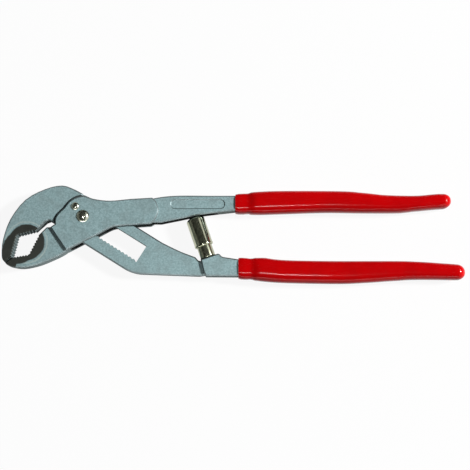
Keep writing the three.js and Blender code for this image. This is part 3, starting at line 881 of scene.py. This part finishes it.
@dataclass
class DippedGrip:
    """A dipped vinyl sleeve lofted along its handle, with a collar groove near the mouth, in millimetres."""

    shop: Workshop
    side: Side
    sides: int = 48
    stations: int = 130
    crowding: float = 1.6
    dome: float = 5.6
    squareness: float = 2.7
    collar: float = 8.0
    groove: float = 0.5
    groove_width: float = 1.5
    lip: float = 0.8
    lip_depth: float = 0.35
    wall: float = 1.5
    least: float = 0.05
    margin: float = 0.0005
    crease: float = 50.0
    thin: float = 0.9
    swell: float = 6.0
    shallow: float = 0.4
    squarer: float = 0.6
    sparser: int = 4

    def sections(self) -> list[Section]:
        """Slice the frame's grip and read the height and depth of each slice.

        Returns:
            For each slice: x, lowest y, highest y, lowest z and highest z, in metres.
        """
        node = self.side.value[0]
        low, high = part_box(node)
        slices = []
        for i in range(self.stations + 1):
            share = 1 - (1 - i / self.stations) ** self.crowding
            x = low[0] + (high[0] - low[0]) * (self.margin + (1 - 2 * self.margin) * share)
            bm = self.shop.mesh_of(node)
            whole = bm.verts[:] + bm.edges[:] + bm.faces[:]
            cut = bmesh.ops.bisect_plane(bm, geom=whole, plane_co=(x, 0, 0), plane_no=(1, 0, 0))["geom_cut"]
            points = [v.co for v in cut if isinstance(v, bmesh.types.BMVert)]
            ys = [p.y for p in points]
            zs = [p.z for p in points]
            slices.append((x, min(ys), max(ys), min(zs), max(zs)))
            bm.free()
        return self.rounded(slices)

    def rounded(self, slices: list[Section]) -> list[Section]:
        """Round the closed end as an ellipse over the frame's chords.

        Args:
            slices: The slices read from the frame.

        Returns:
            The slices with those of the end rounded.
        """
        dome = self.dome * MM
        end, *last = slices[-1]
        start = next(section for section in reversed(slices) if end - section[0] >= dome)
        drift_y = (last[0] + last[1] - start[1] - start[2]) / 2
        drift_z = (last[2] + last[3] - start[3] - start[4]) / 2
        result = []
        for section in slices:
            left = (dome - (end - section[0])) / dome
            if left > 0:
                size = math.sqrt(max(0.0, 1 - left * left))
                spans = []
                for low, high, shift in ((*start[1:3], drift_y), (*start[3:5], drift_z)):
                    middle = (low + high) / 2 + shift * left
                    spans += [middle - (high - low) / 2 * size, middle + (high - low) / 2 * size]
                section = (section[0], *spans)
            result.append(section)
        return result

    def pinch(self, from_mouth: float) -> float:
        """Depth of the collar groove and the mouth's rounded lip.

        Args:
            from_mouth: Distance from the mouth in metres.

        Returns:
            How far the skin is drawn in, in metres.
        """
        away = abs(from_mouth - self.collar * MM) / (self.groove_width * MM)
        dip = self.groove * MM * math.exp(-away * away)
        lip = self.lip * MM
        if from_mouth < lip:
            dip += self.lip_depth * MM * (1 - math.sqrt(max(0.0, 1 - (1 - from_mouth / lip) ** 2)))
        return dip

    def thinning(self, from_mouth: float) -> float:
        """How much thinner than the rest the collar is on each broad side.

        Args:
            from_mouth: Distance from the mouth in metres.

        Returns:
            The difference in metres, running out behind the collar.
        """
        share = min(1.0, max(0.0, (from_mouth / MM - self.collar) / self.swell))
        return self.thin * MM * (1 - share * share * (3 - 2 * share))

    def skin(self, section: Section, mouth: float) -> tuple[Section, float, float, float]:
        """Size one ring of the outer skin.

        Args:
            section: x and the ring's limits.
            mouth: x of the sleeve's mouth.

        Returns:
            The section, how far it is drawn in on the edges and on the broad sides, and its squareness.
        """
        away = section[0] - mouth
        dip = self.pinch(away)
        thin = self.thinning(away)
        square = self.squareness + self.squarer * thin / (self.thin * MM)
        return section, dip, self.shallow * dip + thin, square

    def ring(self, section: Section, draw_y: float, draw_z: float, square: float) -> list[Vector]:
        """Points of one superellipse ring.

        Args:
            section: x and the ring's limits.
            draw_y: How far it is drawn in on the edges.
            draw_z: How far it is drawn in on the broad sides.
            square: Exponent of the superellipse, 2 for an ellipse.

        Returns:
            The ring's points.
        """
        x, y0, y1, z0, z1 = section
        half_y = max(self.least * MM, (y1 - y0) / 2 - draw_y)
        half_z = max(self.least * MM, (z1 - z0) / 2 - draw_z)
        power = 2 / square
        points = []
        for i in range(self.sides):
            turn = 2 * math.pi * i / self.sides
            c, s = math.cos(turn), math.sin(turn)
            points.append(Vector((x, (y0 + y1) / 2 + half_y * math.copysign(abs(c) ** power, c),
                                  (z0 + z1) / 2 + half_z * math.copysign(abs(s) ** power, s))))
        return points

    def build(self) -> None:
        """Loft the sleeve from a circle, along its bore and back over its skin, and close both ends."""
        sections = self.sections()
        bm = bmesh.new()
        verts = bmesh.ops.create_circle(bm, segments=self.sides, radius=1.0)["verts"]
        edges = list({e for v in verts for e in v.link_edges})
        mouth = sections[0][0]
        inner = self.wall * MM
        bore = [section for section in sections if section[0] < sections[-1][0] - self.dome * MM]
        path = [(section, inner, inner, self.squareness) for section in reversed(bore[::self.sparser])]
        path += [self.skin(section, mouth) for section in sections]
        for count, place in enumerate(path):
            if count:
                grown = bmesh.ops.extrude_edge_only(bm, edges=edges)["geom"]
                edges = [g for g in grown if isinstance(g, bmesh.types.BMEdge) and g.is_boundary]
                verts = self.follow(verts, grown)
            for vert, point in zip(verts, self.ring(*place)):
                vert.co = point
        bmesh.ops.holes_fill(bm, edges=[e for e in bm.edges if e.is_boundary])
        bmesh.ops.recalc_face_normals(bm, faces=bm.faces)
        node, body = self.side.value
        self.shop.settle(self.shop.piece(node + "_sleeve", bm, self.crease), body, Slot.VINYL, node)

    @staticmethod
    def follow(verts: list[bmesh.types.BMVert], grown: list) -> list[bmesh.types.BMVert]:
        """Match the new ring's corners to the old ring's order.

        Args:
            verts: The old ring.
            grown: What the extrusion made.

        Returns:
            The new ring in the same order.
        """
        new = {g for g in grown if isinstance(g, bmesh.types.BMVert)}
        return [next(e.other_vert(v) for e in v.link_edges if e.other_vert(v) in new) for v in verts]


@dataclass
class Lamp:
    """A soft rectangular studio lamp aimed at a point."""

    name: str
    place: Triple
    aim: Triple
    size: Pair
    power: float
    mirrored_only: bool = False

    def hang(self) -> None:
        """Add the lamp to the scene."""
        light = bpy.data.lights.new(self.name, "AREA")
        light.shape = "RECTANGLE"
        light.size, light.size_y = self.size
        light.energy = self.power
        lamp = bpy.data.objects.new(self.name, light)
        lamp.location = self.place
        aim = Vector(self.aim) - Vector(self.place)
        lamp.rotation_euler = aim.to_track_quat("-Z", "Y").to_euler()
        lamp.visible_diffuse = not self.mirrored_only
        bpy.context.scene.collection.objects.link(lamp)


@dataclass
class Sheet:
    """A flat rectangle of the stage: the floor or a card, turned by angles in degrees."""

    name: str
    place: Triple
    turn: Triple
    size: Pair

    def hang(self, material: bpy.types.Material) -> bpy.types.Object:
        """Add the rectangle to the scene.

        Args:
            material: Its finish.

        Returns:
            The object, at the origin.
        """
        bm = bmesh.new()
        bmesh.ops.create_grid(bm, x_segments=1, y_segments=1, size=0.5)
        bmesh.ops.scale(bm, vec=(*self.size, 1.0), verts=bm.verts)
        stand = Euler([math.radians(angle) for angle in self.turn]).to_matrix().to_4x4()
        bmesh.ops.transform(bm, matrix=Matrix.Translation(self.place) @ stand, verts=bm.verts)
        mesh = bpy.data.meshes.new(self.name)
        bm.to_mesh(mesh)
        bm.free()
        mesh.materials.append(material)
        sheet = bpy.data.objects.new(self.name, mesh)
        bpy.context.scene.collection.objects.link(sheet)
        return sheet


@dataclass
class Studio:
    """The pale floor, the lamps and cards, and the photo's camera, in metres."""

    target: Triple = (0.09787, -0.01134, 0.007)
    distance: float = 0.65
    tilt: float = 9.0
    lens: float = 76.83
    sensor: float = 36.0
    floor_size: float = 4.0
    floor_drop: float = 0.0002
    floor_colour: Colour = (0.75, 0.75, 0.75, 1.0)
    floor_glow: float = 0.92
    floor_noise: Triple = (6.0, 2.0, 0.5)
    floor_rough: Pair = (0.86, 0.92)
    card_colour: Colour = (0.1, 0.105, 0.095, 1.0)
    card_noise: Triple = (9.0, 2.0, 0.5)
    card_rough: Pair = (0.8, 0.95)
    fill: float = 0.016

    def camera(self) -> None:
        """Set the camera over the target, leaning towards -Y."""
        lean = math.radians(self.tilt)
        away = Vector((0.0, -math.sin(lean), math.cos(lean)))
        data = bpy.data.cameras.new("photo_camera")
        data.lens = self.lens
        data.sensor_width = self.sensor
        data.dof.use_dof = False
        camera = bpy.data.objects.new("photo_camera", data)
        camera.location = Vector(self.target) + away * self.distance
        camera.rotation_euler = (lean, 0.0, 0.0)
        bpy.context.scene.collection.objects.link(camera)
        bpy.context.scene.camera = camera

    def floor(self) -> None:
        """Lay a white floor that keeps the shadow, under the lowest point of the pliers."""
        material, graph, shader = new_material("floor_white")
        graph.set(shader, Base_Color=self.floor_colour)
        rough = graph.ramp(graph.noise(*self.floor_noise), *NOISE_SPAN, *self.floor_rough)
        graph.link(rough, shader.inputs["Roughness"])
        glow = graph.add("ShaderNodeEmission")
        mix = graph.add("ShaderNodeMixShader")
        graph.link(graph.scaled(self.seen(graph), self.floor_glow), mix.inputs["Fac"])
        graph.link(shader.outputs["BSDF"], mix.inputs[1])
        graph.link(glow.outputs["Emission"], mix.inputs[2])
        graph.link(mix.outputs["Shader"], graph.tree.nodes["Material Output"].inputs["Surface"])
        low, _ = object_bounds()
        place = (self.target[0], self.target[1], low[2] - self.floor_drop)
        floor = Sheet("floor", place, (0.0, 0.0, 0.0), (self.floor_size, self.floor_size)).hang(material)
        floor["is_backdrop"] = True

    @staticmethod
    def seen(graph: Graph) -> bpy.types.NodeSocket:
        """Return 1 on camera, glossy and transmission rays, else 0."""
        path = graph.add("ShaderNodeLightPath")
        value = path.outputs["Is Camera Ray"]
        for name in ("Is Glossy Ray", "Is Transmission Ray"):
            most = graph.add("ShaderNodeMath", operation="MAXIMUM")
            graph.link(value, most.inputs[0])
            graph.link(path.outputs[name], most.inputs[1])
            value = most.outputs["Value"]
        return value

    def world(self) -> None:
        """White where it is seen or mirrored; a soft fill for the rest of the light."""
        world = bpy.data.worlds.new("studio")
        bpy.context.scene.world = world
        world.use_nodes = True
        graph = Graph(world.node_tree)
        world.node_tree.nodes.clear()
        shaders = []
        for strength in (self.fill, 1.0):
            background = graph.add("ShaderNodeBackground")
            graph.set(background, Color=(1.0, 1.0, 1.0, 1.0), Strength=strength)
            shaders.append(background.outputs["Background"])
        mix = graph.add("ShaderNodeMixShader")
        out = graph.add("ShaderNodeOutputWorld")
        graph.link(self.seen(graph), mix.inputs["Fac"])
        graph.link(shaders[0], mix.inputs[1])
        graph.link(shaders[1], mix.inputs[2])
        graph.link(mix.outputs["Shader"], out.inputs["Surface"])

    def flags(self) -> None:
        """Hang dark cards overhead, behind and at both sides, which only mirrored light sees."""
        material, graph, shader = new_material("flag_grey")
        graph.set(shader, Base_Color=self.card_colour)
        rough = graph.ramp(graph.noise(*self.card_noise), *NOISE_SPAN, *self.card_rough)
        graph.link(rough, shader.inputs["Roughness"])
        for sheet in (
            Sheet("back_flag", (0.1, 0.5, 0.16), (90.0, 0.0, 0.0), (1.3, 0.32)),
            Sheet("left_flag", (-0.45, 0.05, 0.16), (90.0, 0.0, 90.0), (1.1, 0.32)),
            Sheet("right_flag", (0.62, 0.35, 0.16), (90.0, 0.0, 90.0), (0.7, 0.32)),
            Sheet("ceiling", (-0.75, 0.0, 1.1), (0.0, 0.0, 0.0), (3.3, 4.4)),
        ):
            flag = sheet.hang(material)
            flag.visible_camera = False
            flag.visible_shadow = False
            flag.visible_diffuse = False
            flag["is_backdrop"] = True

    def build(self) -> None:
        """Set the camera, floor, flags, world and lamps."""
        self.camera()
        self.floor()
        self.flags()
        self.world()
        for lamp in (
            Lamp("key", (2.45, 0.34, 1.72), (0.06, 0.0, 0.0), (0.36, 0.36), 150.0),
            Lamp("top_strip", (0.1, -0.27, 0.92), (0.1, 0.0, 0.0), (0.26, 0.04), 3.4, mirrored_only=True),
            Lamp("front_bank", (0.1, -0.8, 0.17), (0.1, 0.0, 0.0), (1.1, 0.16), 2.6, mirrored_only=True),
        ):
            lamp.hang()


def main() -> None:
    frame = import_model()
    bpy.context.scene.view_settings.view_transform = "Standard"
    shop = Workshop(frame, Palette())
    turnings = Turnings()
    Forgings(shop).build()
    for rivet in (
        Rivet("pivot_rivet", Body.PIVOT, shank=6.0, head=8.0, dome=1.7),
        Rivet("guide_rivet", Body.UPPER, shank=3.2, head=5.0, dome=1.2),
    ):
        rivet.build(shop, turnings)
    SpringStrut(shop, turnings).build()
    for side in Side:
        DippedGrip(shop, side).build()
    Studio().build()


if __name__ == "__main__":
    main()
